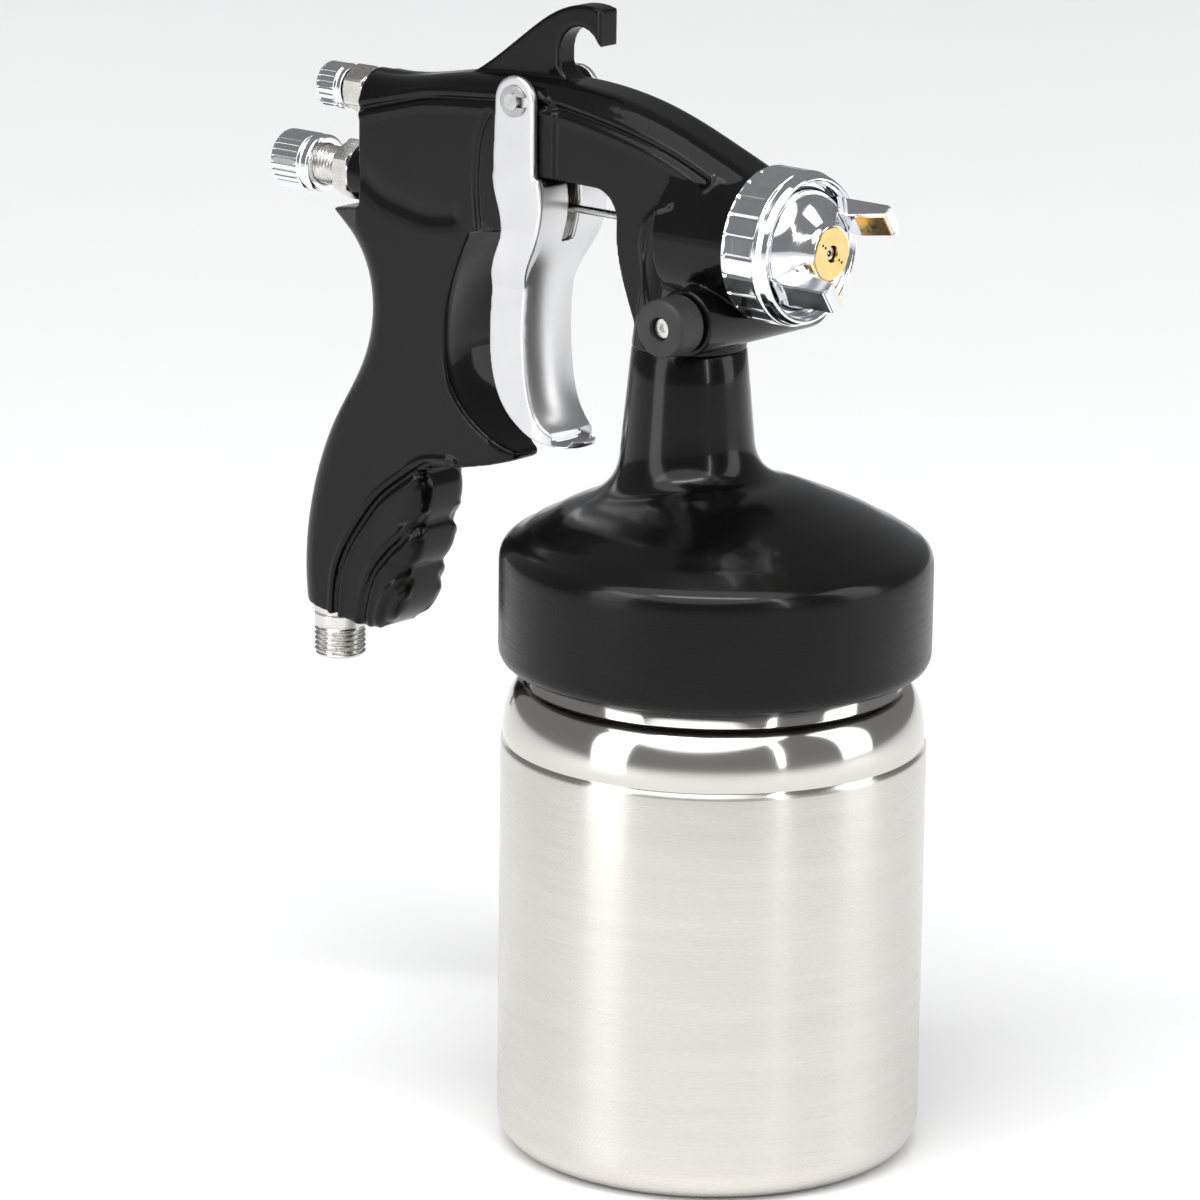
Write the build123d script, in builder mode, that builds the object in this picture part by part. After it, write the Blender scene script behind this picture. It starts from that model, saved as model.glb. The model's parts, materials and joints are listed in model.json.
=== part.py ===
from build123d import *
from math import cos, radians, sin
import os

# Suction-feed spray gun with a one-quart cup.
# Frame: origin at the centre of the cup's base, +X the way it sprays, +Y its left side, +Z up.
# All sizes are millimetres.

# Cup and cover
CUP_RADIUS = 52.0
CUP_WALL = 1.2
CUP_NECK_RADIUS = 46.0
CUP_HEIGHT = 146.0
COVER_RADIUS = 52.8
SKIRT_BOTTOM = 121.8
COVER_CEILING = 148.0
NECK_X = -9.5
NECK_TOP = 199.0
NECK_RADIUS = 14.0

# Working lines: the needle and nozzle share one line, the fan valve lies above it
NEEDLE_Z = 227.6
FAN_Z = 248.3
SPINDLE_X = 4.5
SPINDLE_Z = 209.6
PIVOT_X = -55.2
PIVOT_Z = 254.5

# Casting
BODY_HALF = 9.8
PAD_HALF = 10.5
REAR_FACE = -108.5
COLUMN_REAR = -25.0
BARREL_RADIUS = 17.0
BARREL_FRONT = 13.8
SPIGOT_FRONT = 19.6
GRIP_BACK = -108.0
SWELL_HALF = 9.7
SEAT_GAP = 0.05

# Trigger
ARM_INSIDE = 10.8
ARM_OUTSIDE = 12.6
BLADE_HALF = 9.2
TRIGGER_WALL = 1.8
OPEN_BACK = 1.0
LIP_CENTRE = -50.0
PIN_RADIUS = 2.0

# Needle, air valve and their line of parts
NEEDLE_RADIUS = 1.0
STEM_RADIUS = 2.0
HOUSING_THREAD = 5.5
HOUSING_FRONT = -92.0

# Hose connection: G 1/4 male thread
INLET_X = -123.2
INLET_RADIUS = 6.58
INLET_TOP = 113.0
INLET_BOTTOM = 101.0

RUNNING = 0.06      # radial clearance of a shaft that turns or slides
NOZZLE_AXIS = Axis((0, 0, NEEDLE_Z), (1, 0, 0))
NOZZLE_PLANE = Plane((0, 0, NEEDLE_Z))

os.makedirs("parts", exist_ok=True)


def save(piece, label):
    """Label a finished piece and write its own STEP file."""
    piece.part.label = label
    export_step(piece.part, f"parts/{label}.step")


def rod(start, end, radius, line_z=NEEDLE_Z, mode=Mode.ADD):
    """Round bar along X, from one station to another."""
    with BuildSketch(Plane.YZ.offset(start)) as section:
        with Locations((0, line_z)):
            Circle(radius)
    extrude(section.sketch, amount=end - start, mode=mode)


def hexagon(start, end, across_flats, line_z=NEEDLE_Z):
    """Hexagonal bar along X."""
    with BuildSketch(Plane.YZ.offset(start)) as section:
        with Locations((0, line_z)):
            RegularPolygon(across_flats / 2, 6, major_radius=False)
    extrude(section.sketch, amount=end - start)


def cross_rod(start, end, radius, x, z, mode=Mode.ADD):
    """Round bar along Y, from one side station to another."""
    with BuildSketch(Plane.XZ.offset(-end)) as section:
        with Locations((x, z)):
            Circle(radius)
    extrude(section.sketch, amount=end - start, mode=mode)


def post(bottom, top, radius, x=0.0, mode=Mode.ADD):
    """Round bar along Z."""
    with BuildSketch(Plane.XY.offset(bottom)) as section:
        with Locations((x, 0)):
            Circle(radius)
    extrude(section.sketch, amount=top - bottom, mode=mode)


def slanted_bore(start, end, radius):
    """Drilled air passage between two (x, z) points of the middle plane."""
    run = Vector(end[0] - start[0], 0, end[1] - start[1])
    with BuildSketch(Plane(origin=(start[0], 0, start[1]), z_dir=run)) as section:
        Circle(radius)
    extrude(section.sketch, amount=run.length, mode=Mode.SUBTRACT)


def spun(outline, mode=Mode.ADD):
    """Turn a closed (x, radius) outline about the nozzle line."""
    with BuildSketch(NOZZLE_PLANE) as half:
        with BuildLine():
            Polyline(*outline, close=True)
        make_face()
    revolve(half.sketch, axis=NOZZLE_AXIS, mode=mode)


def slab(outline, half_width, mode=Mode.ADD):
    """Flat plate with a closed (x, z) outline, centred on the middle plane."""
    with BuildSketch(Plane.XZ) as side:
        with BuildLine():
            Polyline(*outline, close=True)
        make_face()
    extrude(side.sketch, amount=half_width, both=True, mode=mode)


def flutes(start, end, radius, count, depth, line_z=NEEDLE_Z):
    """Straight knurl: evenly spaced round grooves along a knob."""
    with BuildSketch(Plane.YZ.offset(start)) as section:
        with Locations((0, line_z)):
            with PolarLocations(radius, count):
                Circle(depth)
    extrude(section.sketch, amount=end - start, mode=Mode.SUBTRACT)


def coil(start, end, radius, wire, turns):
    """Compression spring along X on the needle line."""
    height = end - start - 2 * wire
    with BuildLine() as path:
        Helix(height / turns, height, radius, center=(start + wire, 0, NEEDLE_Z), direction=(1, 0, 0))
    with BuildSketch(Plane(origin=path.line @ 0, z_dir=path.line % 0)) as section:
        Circle(wire)
    sweep(section.sketch, path=path.line)


# ---------------------------------------------------------------- casting

def casting_side():
    """Side outline of the barrel spine, rear block and handle."""
    with BuildSketch(Plane.XZ) as side:
        with BuildLine():
            Spline((REAR_FACE, 254.0), (-96, 254.6), (-81, 257.2), (-60, 259.2), (-43, 259.4),
                   (-20, 256.0), (-3, 250.2), (12, 244.2))
            Polyline((12, 244.2), (12, 212), (-6, 203), (-18.5, 203))
            Spline((-18.5, 203), (-21.4, 210.5), (-23.6, 217), (COLUMN_REAR, 228.4))
            ThreePointArc((COLUMN_REAR, 228.4), (-27, 233.7), (-32, 235.9))
            Polyline((-32, 235.9), (-60, 236.4), (-60, 221), (-72, 219.5))
            Spline((-72, 219.5), (-76.4, 209.5), (-79.4, 199), (-80, 190), (-77.6, 179),
                   (-71.2, 171.0), (-60.5, 164.6))
            Polyline((-60.5, 164.6), (-60.8, 162.8))
            Spline((-60.8, 162.8), (-70, 160.2), (-80, 158.4), (-92, 154.4))
            Polyline((-92, 154.4), (GRIP_BACK, 113.0), (-129.6, 116.4))
            Spline((-129.6, 116.4), (-130.2, 127), (-127.8, 145), (-119.6, 166.2), (-110.8, 181.5),
                   (-107.7, 195), (-109.8, 205.6), (-114.8, 212.6), (-121.4, 217.2))
            Polyline((-121.4, 217.2), (-121, 218.2), (REAR_FACE, 220.8), (REAR_FACE, 254.0))
        make_face()
    return side.sketch


def hook_side():
    """Side outline of the hanging hook."""
    with BuildSketch(Plane.XZ) as side:
        with BuildLine():
            Spline((-84, 254.5), (-74, 259.6), (-65.4, 265.6), (-57, 271.9), (-50.1, 276.1),
                   (-43.5, 278.2), (-36.0, 277.6))
            Polyline((-36.0, 277.6), (-36.0, 268.6), (-37.2, 269.6))
            ThreePointArc((-37.2, 269.6), (-43.4, 272.9), (-49.2, 267.0))
            Polyline((-49.2, 267.0), (-49.2, 263.0))
            ThreePointArc((-49.2, 263.0), (-47.2, 260.6), (-43.2, 258.9))
            Polyline((-43.2, 258.9), (-43.2, 252), (-84, 252), (-84, 254.5))
        make_face()
    return side.sketch


def grip_swell(x, z, radius):
    """One of the rounded swells on the front of the lower grip."""
    with BuildPart() as swell:
        cross_rod(-SWELL_HALF, SWELL_HALF, radius, x, z)
        fillet(swell.edges().filter_by(GeomType.CIRCLE), radius=5)
    return swell.part


def grip_groove(points):
    """Curved groove pressed into both sides of the lower grip."""
    for side in (-1, 1):
        places = [Vector(x, side * BODY_HALF, z) for x, z in points]
        with BuildLine() as path:
            Spline(*places)
        with BuildSketch(Plane(origin=path.line @ 0, z_dir=path.line % 0)) as section:
            Circle(1.0)
        sweep(section.sketch, path=path.line, mode=Mode.SUBTRACT)


def make_gun_body():
    swells = [grip_swell(-100.0, 149.7, 12.4), grip_swell(-100.8, 138.2, 11.0),
              grip_swell(-110.2, 127.6, 16.4)]
    with BuildPart() as gun_body:
        extrude(casting_side(), amount=BODY_HALF, both=True)
        sides = gun_body.edges().filter_by(lambda edge: abs(edge.center().Y) > BODY_HALF - 0.1)
        spine = sides.filter_by(lambda edge: edge.center().Z > 255)
        fillet(spine, radius=6.5)
        sides = gun_body.edges().filter_by(lambda edge: abs(edge.center().Y) > BODY_HALF - 0.1)
        back = sides.filter_by(lambda edge: edge.center().X < -105 and 150 < edge.center().Z < 200)
        fillet(back, radius=7.5)
        for swell in swells:
            add(swell)
        slab([(-88, 112.4), (-104, 112.4), (GRIP_BACK, 113), (-129.6, 116.4), (-129.6, 105), (-88, 105)],
             12, mode=Mode.SUBTRACT)
        # The finger rest narrows to its tip
        with BuildSketch(Plane.XY.offset(150)) as taper:
            for side in (-1, 1):
                with BuildLine():
                    Polyline((-80, side * 9.9), (-66, side * 7.0), (-59, side * 3.5),
                             (-50, side * 3.5), (-50, side * 14), (-80, side * 14), close=True)
                make_face()
        extrude(taper.sketch, amount=48, mode=Mode.SUBTRACT)
        # The rear spur narrows too
        with BuildSketch(Plane.XY.offset(200)) as taper:
            for side in (-1, 1):
                with BuildLine():
                    Polyline((-109, side * 9.9), (-122, side * 4.5), (-124, side * 14),
                             (-109, side * 14), close=True)
                make_face()
        extrude(taper.sketch, amount=20.7, mode=Mode.SUBTRACT)
        grip_groove([(-84.5, 158.6), (-93.5, 153.2), (-101.6, 146.9), (-107.3, 140), (-111.4, 134.1),
                     (-115.1, 126.1), (-116.4, 113)])
        grip_groove([(-88, 143.4), (-93.4, 138), (-99.1, 132.6), (-103.9, 126.3), (-107.8, 112)])
        grip_groove([(-91, 128.6), (-95, 125), (-98.1, 121.1), (-102.5, 111)])
        # Pads that carry the trigger pin
        slab([(-62, 255.5), (-65, 250), (-67.5, 243), (-68.3, 233), (-67.7, 224), (-65.9, 221.6),
              (-60, 221.2), (-60, 236.4), (-44.5, 236.2), (-44.5, 253), (-49, 257.6), (-57, 258)],
             PAD_HALF)
        extrude(hook_side(), amount=3.25, both=True)
        # Bosses round the two rear controls
        rod(-115, -100, 7.5)
        rod(-110.8, -100, 6.2, line_z=FAN_Z)
        # Head: nozzle barrel, fluid column and cross housing for the changeover spindle
        rod(-8, BARREL_FRONT, BARREL_RADIUS)
        rod(BARREL_FRONT, SPIGOT_FRONT, BARREL_RADIUS - 0.1)
        with BuildSketch(Plane.XY.offset(NECK_TOP)) as foot:
            with Locations((NECK_X, 0)):
                Circle(NECK_RADIUS)
        with BuildSketch(Plane.XY.offset(238)) as crown:
            with Locations((NECK_X, 0)):
                Circle(BODY_HALF)
        loft(Sketch() + [foot.sketch, crown.sketch])
        cross_rod(-19.5, 28.5, 8.2, SPINDLE_X, SPINDLE_Z)
        fillet(gun_body.edges().filter_by(GeomType.CIRCLE).sort_by(Axis.Y)[-1], radius=2.5)
        post(188.5, NECK_TOP, 9.8, x=NECK_X)
        # Needle line, rear to front: housing thread, valve chamber, seat, front chamber, packing
        rod(-116, HOUSING_FRONT + 15, HOUSING_THREAD, mode=Mode.SUBTRACT)
        rod(-77, -74, 5.3, mode=Mode.SUBTRACT)
        rod(-74, -66, 3.2, mode=Mode.SUBTRACT)
        rod(-66, -59, 4.0, mode=Mode.SUBTRACT)
        # Needle line through the head
        rod(-32, COLUMN_REAR - 0.1, 4.3, mode=Mode.SUBTRACT)
        rod(-30, -16, 3.2, mode=Mode.SUBTRACT)
        rod(-16, 0, 1.6, mode=Mode.SUBTRACT)
        rod(-4, 8, 4.5, mode=Mode.SUBTRACT)
        rod(6, SPIGOT_FRONT + 1, 13.2, mode=Mode.SUBTRACT)
        # Fan line, and the drilled air passages
        rod(-112, -63, 4.0, line_z=FAN_Z, mode=Mode.SUBTRACT)
        rod(-64, -44, 1.9, line_z=FAN_Z, mode=Mode.SUBTRACT)
        slanted_bore((-47, FAN_Z), (10, 240), 1.5)
        slanted_bore((-70, NEEDLE_Z), (-70, FAN_Z), 2.2)
        slanted_bore((INLET_X, 124), (-86, 223), 3.4)
        # Changeover spindle bore with its plug, and the fluid bore up from the cup
        cross_rod(-25, 24.5, 4.0 + RUNNING, SPINDLE_X, SPINDLE_Z, mode=Mode.SUBTRACT)
        cross_rod(24, 32, 6.0, SPINDLE_X, SPINDLE_Z, mode=Mode.SUBTRACT)
        post(187, 196, 6.0, x=NECK_X, mode=Mode.SUBTRACT)
        post(195, NEEDLE_Z, 3.0, x=NECK_X, mode=Mode.SUBTRACT)
        # Trigger pin hole and hose socket
        cross_rod(-13, 13, PIN_RADIUS, PIVOT_X, PIVOT_Z, mode=Mode.SUBTRACT)
        post(100, 128, 5.0, x=INLET_X, mode=Mode.SUBTRACT)
        post(100, 115, 7.1, x=INLET_X, mode=Mode.SUBTRACT)
    save(gun_body, "gun_body")


def make_air_inlet():
    with BuildPart() as inlet:
        post(INLET_BOTTOM, INLET_TOP, INLET_RADIUS, x=INLET_X)
        chamfer(inlet.edges().sort_by(Axis.Z)[0], length=0.8)
        post(INLET_TOP, 115.0, 7.0, x=INLET_X)
        post(115.0, 127, 5.0, x=INLET_X)
        post(100, 128, 3.5, x=INLET_X, mode=Mode.SUBTRACT)
    save(inlet, "air_inlet_fitting")


# ---------------------------------------------------------------- trigger

def trigger_shell(front_shift, half_arm, half_blade):
    """Trigger body as its side outline cut by its front outline."""
    with BuildPart() as shell:
        with BuildSketch(Plane.XZ) as side:
            with BuildLine():
                Polyline((-62.5, 236), (-62.6, 225))
                Spline((-62.6, 225), (-62.2, 216), (-62.8, 206), (-63.4, 195), (-62.6, 186),
                       (-59.4, 178), (-53.2, 172.2), (-41.5, 168.6))
                Polyline((-41.5, 168.6), (-40.4 - front_shift, 170.0 + front_shift))
                Spline((-40.4 - front_shift, 170.0 + front_shift),
                       (-48.6 - front_shift, 175.6), (-51.8 - front_shift, 187),
                       (-52.2 - front_shift, 203), (-50.6 - front_shift, 213),
                       (-47.6 - front_shift, 222), (-47.5 - front_shift, 236))
                Polyline((-47.5 - front_shift, 236), (-62.5, 236))
            make_face()
        extrude(side.sketch, amount=ARM_OUTSIDE, both=True)
        with BuildSketch(Plane.YZ.offset(-70)) as front:
            with BuildLine():
                Polyline((-half_arm, 240), (-half_arm, 222))
                Spline((-half_arm, 222), (-half_arm + 1, 215.5), (-half_blade, 207))
                Polyline((-half_blade, 207), (-half_blade, 165), (half_blade, 165), (half_blade, 207))
                Spline((half_blade, 207), (half_arm - 1, 215.5), (half_arm, 222))
                Polyline((half_arm, 222), (half_arm, 240), (-half_arm, 240))
            make_face()
        extrude(front.sketch, amount=40, mode=Mode.INTERSECT)
    return shell.part


def make_trigger():
    outer = trigger_shell(0, ARM_OUTSIDE, BLADE_HALF)
    inner = trigger_shell(TRIGGER_WALL - OPEN_BACK, ARM_INSIDE, BLADE_HALF - TRIGGER_WALL)
    inner = Pos(-OPEN_BACK, 0, 0.5) * inner
    with BuildPart() as trigger:
        add(outer)
        add(inner, mode=Mode.SUBTRACT)
        # Two arms up to the pivot pin
        for start in (-ARM_OUTSIDE, ARM_INSIDE):
            with BuildSketch(Plane.XZ.offset(-start - TRIGGER_WALL)) as arm:
                with Locations((PIVOT_X, PIVOT_Z)):
                    Circle(6.2)
                with BuildLine():
                    Polyline((PIVOT_X - 6.2, PIVOT_Z), (-62.3, 232), (-48.8, 232),
                             (PIVOT_X + 6.2, PIVOT_Z), close=True)
                make_face()
            extrude(arm.sketch, amount=TRIGGER_WALL)
        cross_rod(-16, 16, PIN_RADIUS + RUNNING, PIVOT_X, PIVOT_Z, mode=Mode.SUBTRACT)
        # The lip ends in a half round
        with BuildSketch(Plane.XY.offset(166)) as corners:
            with Locations((LIP_CENTRE + 8, 0)):
                Rectangle(16, 24)
            with Locations((LIP_CENTRE, 0)):
                Circle(BLADE_HALF, mode=Mode.SUBTRACT)
        extrude(corners.sketch, amount=12, mode=Mode.SUBTRACT)
        # Needle slot in the front web, and the open top of the channel
        slab([(-60, 219.4), (-44, 219.4), (-44, 242), (-60, 242)], 1.9, mode=Mode.SUBTRACT)
        slab([(-66, 234.2), (-40, 234.2), (-40, 262), (-66, 262)], ARM_INSIDE, mode=Mode.SUBTRACT)
    save(trigger, "trigger")


def make_trigger_pin():
    with BuildPart() as pin:
        cross_rod(-14.0, 13.6, PIN_RADIUS, PIVOT_X, PIVOT_Z)
        cross_rod(12.7, 13.6, 3.1, PIVOT_X, PIVOT_Z)
        cross_rod(-13.4, -12.7, PIN_RADIUS, PIVOT_X, PIVOT_Z, mode=Mode.SUBTRACT)
        cross_rod(-13.4, -12.7, 1.5, PIVOT_X, PIVOT_Z)
    save(pin, "trigger_pivot_pin")
    with BuildPart() as clip:
        cross_rod(-13.35, -12.75, 3.9, PIVOT_X, PIVOT_Z)
        cross_rod(-14, -12, 1.5, PIVOT_X, PIVOT_Z, mode=Mode.SUBTRACT)
        slab([(PIVOT_X, PIVOT_Z - 1.3), (PIVOT_X + 6, PIVOT_Z - 1.3),
              (PIVOT_X + 6, PIVOT_Z + 1.3), (PIVOT_X, PIVOT_Z + 1.3)], 16, mode=Mode.SUBTRACT)
    save(clip, "pivot_retaining_clip")


# ---------------------------------------------------------------- air valve and needle

def make_air_valve():
    with BuildPart() as seat:
        rod(-77, -74, 5.3)
        rod(-78, -73, 3.0, mode=Mode.SUBTRACT)
    save(seat, "air_valve_seat")
    with BuildPart() as stem:
        spun([(HOUSING_FRONT, 0), (HOUSING_FRONT, STEM_RADIUS), (-80.6, STEM_RADIUS), (-80.6, 4.6),
              (-79.1, 4.6), (-79.1, STEM_RADIUS), (-52.1, STEM_RADIUS), (-52.1, 4.4),
              (-51.2, 4.4), (-50.3, 3.2), (-50.3, 0)])
        rod(-93, -50, NEEDLE_RADIUS + 0.15, mode=Mode.SUBTRACT)
    save(stem, "air_valve_stem")
    with BuildPart() as seal:
        rod(-79.1, -77.1, 4.6)
        rod(-80, -77, STEM_RADIUS, mode=Mode.SUBTRACT)
    save(seal, "air_valve_seal")
    with BuildPart() as spring:
        coil(HOUSING_FRONT + SEAT_GAP, -80.6, 4.2, 0.4, 6)
    save(spring, "air_valve_spring")
    with BuildPart() as packing:
        rod(-66, -63.5, 4.0)
        rod(-67, -63, STEM_RADIUS + RUNNING, mode=Mode.SUBTRACT)
    save(packing, "air_valve_packing")
    with BuildPart() as nut:
        rod(-63.5, -60, 4.0)
        hexagon(-60, -58.0, 9.0)
        rod(-64, -56, STEM_RADIUS + 0.1, mode=Mode.SUBTRACT)
    save(nut, "air_valve_packing_nut")


def make_needle():
    with BuildPart() as needle:
        spun([(-118, 0), (-118, NEEDLE_RADIUS), (26, NEEDLE_RADIUS), (31.2, 0.5), (32.4, 0.3),
              (32.4, 0)])
    save(needle, "fluid_needle")
    with BuildPart() as collar:
        rod(-96.6, -93.6, 3.2)
        rod(-97, -93, NEEDLE_RADIUS, mode=Mode.SUBTRACT)
    save(collar, "needle_collar")
    with BuildPart() as spring:
        coil(-131 + SEAT_GAP, -96.6, 3.1, 0.4, 12)
    save(spring, "needle_spring")
    with BuildPart() as packing:
        rod(-19, -16, 3.2)
        rod(-20, -15, NEEDLE_RADIUS + RUNNING, mode=Mode.SUBTRACT)
    save(packing, "needle_packing")
    with BuildPart() as nut:
        rod(COLUMN_REAR, -19, 3.2)
        hexagon(-28.4, COLUMN_REAR - 0.1, 7.0)
        rod(COLUMN_REAR - 0.2, -24, 3.2)
        rod(-29, -18, NEEDLE_RADIUS + 0.15, mode=Mode.SUBTRACT)
    save(nut, "needle_packing_nut")


# ---------------------------------------------------------------- rear controls

def make_fluid_control():
    with BuildPart() as housing:
        rod(-115.1, HOUSING_FRONT, HOUSING_THREAD)
        hexagon(-120.5, -115.1, 13.4)
        rod(-133.5, -120.5, 5.0)
        rod(-134, -91, 4.0, mode=Mode.SUBTRACT)
    save(housing, "fluid_control_housing")
    with BuildPart() as stop:
        rod(-133.5, -131, 3.8)
        rod(-138, -133.5, 2.6)
    save(stop, "needle_stop")
    with BuildPart() as knob:
        spun([(-141.3, 0), (-141.3, 5.6), (-140.4, 7.5), (-131.6, 7.5), (-131.2, 6.9), (-130.6, 6.9),
              (-130.3, 7.4), (-128.5, 7.4), (-128, 6.9), (-128, 5.1), (-138, 5.1), (-138, 0)])
        flutes(-140.2, -131.4, 7.7, 28, 0.45)
    save(knob, "fluid_control_knob")


def make_fan_control():
    with BuildPart() as body:
        rod(-111, -96, 4.0, line_z=FAN_Z)
        hexagon(-117.8, -111, 11.0, line_z=FAN_Z)
        rod(-118, -95, 3.0, line_z=FAN_Z, mode=Mode.SUBTRACT)
    save(body, "fan_valve_body")
    with BuildPart() as stem:
        rod(-124, -68, 2.2, line_z=FAN_Z)
        with BuildSketch(Plane.YZ.offset(-68)) as root:
            with Locations((0, FAN_Z)):
                Circle(2.2)
        with BuildSketch(Plane.YZ.offset(-62)) as tip:
            with Locations((0, FAN_Z)):
                Circle(0.6)
        loft(Sketch() + [root.sketch, tip.sketch])
    save(stem, "fan_valve_stem")
    with BuildPart() as seal:
        rod(-105, -103.4, 2.9, line_z=FAN_Z)
        rod(-106, -103, 2.2, line_z=FAN_Z, mode=Mode.SUBTRACT)
    save(seal, "fan_stem_seal")
    with BuildPart() as knob:
        rod(-127.1, -118.6, 5.85, line_z=FAN_Z)
        chamfer(knob.edges().filter_by(GeomType.CIRCLE), length=0.6)
        rod(-124, -118, 2.2, line_z=FAN_Z, mode=Mode.SUBTRACT)
        flutes(-126.2, -118, 6.05, 24, 0.45, line_z=FAN_Z)
    save(knob, "fan_control_knob")


# ---------------------------------------------------------------- nozzle set

def make_nozzle_set():
    with BuildPart() as nozzle:
        spun([(-3, 0), (-3, 4.5), (6, 4.5), (6, 7.0), (8, 7.0), (12.6, 7.0), (13, 6.0), (27, 3.2),
              (30.4, 1.6), (32.6, 1.6), (32.6, 0)])
        spun([(-4, 0), (-4, 1.9), (24, 1.9), (31, 0.75), (33, 0.75), (33, 0)], mode=Mode.SUBTRACT)
    save(nozzle, "fluid_nozzle")
    with BuildPart() as baffle:
        rod(6, 10.5, 13.0)
        rod(5, 11, 7.2, mode=Mode.SUBTRACT)
        with BuildSketch(Plane.YZ.offset(6)) as holes:
            with Locations((0, NEEDLE_Z)):
                with PolarLocations(10.2, 10):
                    Circle(1.1)
        extrude(holes.sketch, amount=5, mode=Mode.SUBTRACT)
    save(baffle, "air_distributor")
    with BuildPart() as insert:
        spun([(29.6, 2.1), (29.6, 5.6), (31, 6.2), (33.6, 6.2), (33.6, 2.1)])
        for spread in (3.2, 4.4):
            for side in (0, 180):
                turn = radians(side - 35)
                with BuildSketch(Plane.YZ.offset(29)) as hole:
                    with Locations((spread * cos(turn), NEEDLE_Z + spread * sin(turn))):
                        Circle(0.35)
                extrude(hole.sketch, amount=6, mode=Mode.SUBTRACT)
    save(insert, "air_cap_insert")


HORN_ANGLE = 35.0


def make_air_cap():
    with BuildPart() as cap:
        spun([(21.3, 13.5), (21.3, 16.8), (23.8, 16.8), (23.8, 15.2), (25.6, 14.8), (28.2, 12.8),
              (30.6, 9.4), (32.4, 7.4), (33.2, 7.0), (33.2, 6.2), (31, 6.2), (29.6, 5.6), (28, 10.5),
              (25, 12.8)])
        for turn in (HORN_ANGLE, HORN_ANGLE + 180):
            out = Vector(0, cos(radians(turn)), sin(radians(turn)))
            side = Plane(origin=(0, 0, NEEDLE_Z), x_dir=(1, 0, 0), z_dir=Vector(1, 0, 0).cross(out))
            with BuildSketch(side) as horn:
                with BuildLine():
                    Polyline((26.5, 12.6), (29.8, 10.4), (33.5, 9.8), (43.0, 11.8), (43.2, 14.2),
                             (42.2, 15.2), (25.8, 15.2), close=True)
                make_face()
            extrude(horn.sketch, amount=3.5, both=True)
        rod(21, 29.7, 9.0, mode=Mode.SUBTRACT)
    save(cap, "air_cap")


def make_retaining_ring():
    with BuildPart() as ring:
        spun([(14.2, 17.0), (14.2, 18.2), (14.8, 18.8), (24.4, 18.8), (24.9, 18.2), (26.6, 18.2),
              (27.6, 17.4), (27.6, 15.8), (24.0, 15.8), (24.0, 17.0), (21.0, 17.0), (21.0, 17.5),
              (19.8, 17.5), (19.8, 17.0)])
        flutes(15.0, 24.2, 19.05, 24, 0.6)
    save(ring, "retaining_ring")
    with BuildPart() as clip:
        rod(19.9, 20.9, 17.4)
        rod(19, 22, 16.1, mode=Mode.SUBTRACT)
        slab([(19, NEEDLE_Z - 20), (22, NEEDLE_Z - 20), (22, NEEDLE_Z - 10), (19, NEEDLE_Z - 10)],
             2.0, mode=Mode.SUBTRACT)
    save(clip, "ring_clip")


# ---------------------------------------------------------------- changeover valve

def make_changeover():
    with BuildPart() as spindle:
        cross_rod(-19.4, 20, 4.0, SPINDLE_X, SPINDLE_Z)
        cross_rod(-25, -19.4, 2.5, SPINDLE_X, SPINDLE_Z)
        for groove in (-14.0, 15.0):
            cross_rod(groove, groove + 1.8, 5.0, SPINDLE_X, SPINDLE_Z, mode=Mode.SUBTRACT)
            cross_rod(groove, groove + 1.8, 3.0, SPINDLE_X, SPINDLE_Z)
        cross_rod(-26, -17, 1.2, SPINDLE_X, SPINDLE_Z, mode=Mode.SUBTRACT)
        post(SPINDLE_Z - 6, SPINDLE_Z + 6, 1.5, x=SPINDLE_X, mode=Mode.SUBTRACT)
    save(spindle, "changeover_spindle")
    with BuildPart() as seals:
        for groove in (-14.0, 15.0):
            cross_rod(groove + 0.1, groove + 1.7, 4.0, SPINDLE_X, SPINDLE_Z)
            cross_rod(groove + 0.1, groove + 1.7, 3.0, SPINDLE_X, SPINDLE_Z, mode=Mode.SUBTRACT)
    save(seals, "spindle_seals")
    with BuildPart() as knob:
        cross_rod(-28.7, -20, 7.1, SPINDLE_X, SPINDLE_Z)
        fillet(knob.edges().filter_by(GeomType.CIRCLE), radius=1.0)
        cross_rod(-26, -19, 2.5, SPINDLE_X, SPINDLE_Z, mode=Mode.SUBTRACT)
        cross_rod(-30, -25, 2.9, SPINDLE_X, SPINDLE_Z, mode=Mode.SUBTRACT)
    save(knob, "changeover_knob")
    with BuildPart() as screw:
        cross_rod(-27.2, -25, 2.3, SPINDLE_X, SPINDLE_Z)
        cross_rod(-25, -18, 1.2, SPINDLE_X, SPINDLE_Z)
        with BuildSketch(Plane.XZ.offset(26.4)) as drive:
            with Locations((SPINDLE_X, SPINDLE_Z)):
                RegularPolygon(1.2, 6)
        extrude(drive.sketch, amount=2, mode=Mode.SUBTRACT)
    save(screw, "knob_screw")
    with BuildPart() as plug:
        cross_rod(24, 27.6, 6.0, SPINDLE_X, SPINDLE_Z)
        with BuildSketch(Plane.XZ.offset(-26.2)) as slot:
            with Locations((SPINDLE_X, SPINDLE_Z)):
                Rectangle(9, 1.4)
        extrude(slot.sketch, amount=-3, mode=Mode.SUBTRACT)
    save(plug, "housing_end_plug")


# ---------------------------------------------------------------- cup and cover

def neck_distance(point):
    """Distance of a point from the neck's upright axis."""
    return ((point.X - NECK_X) ** 2 + point.Y ** 2) ** 0.5


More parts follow.
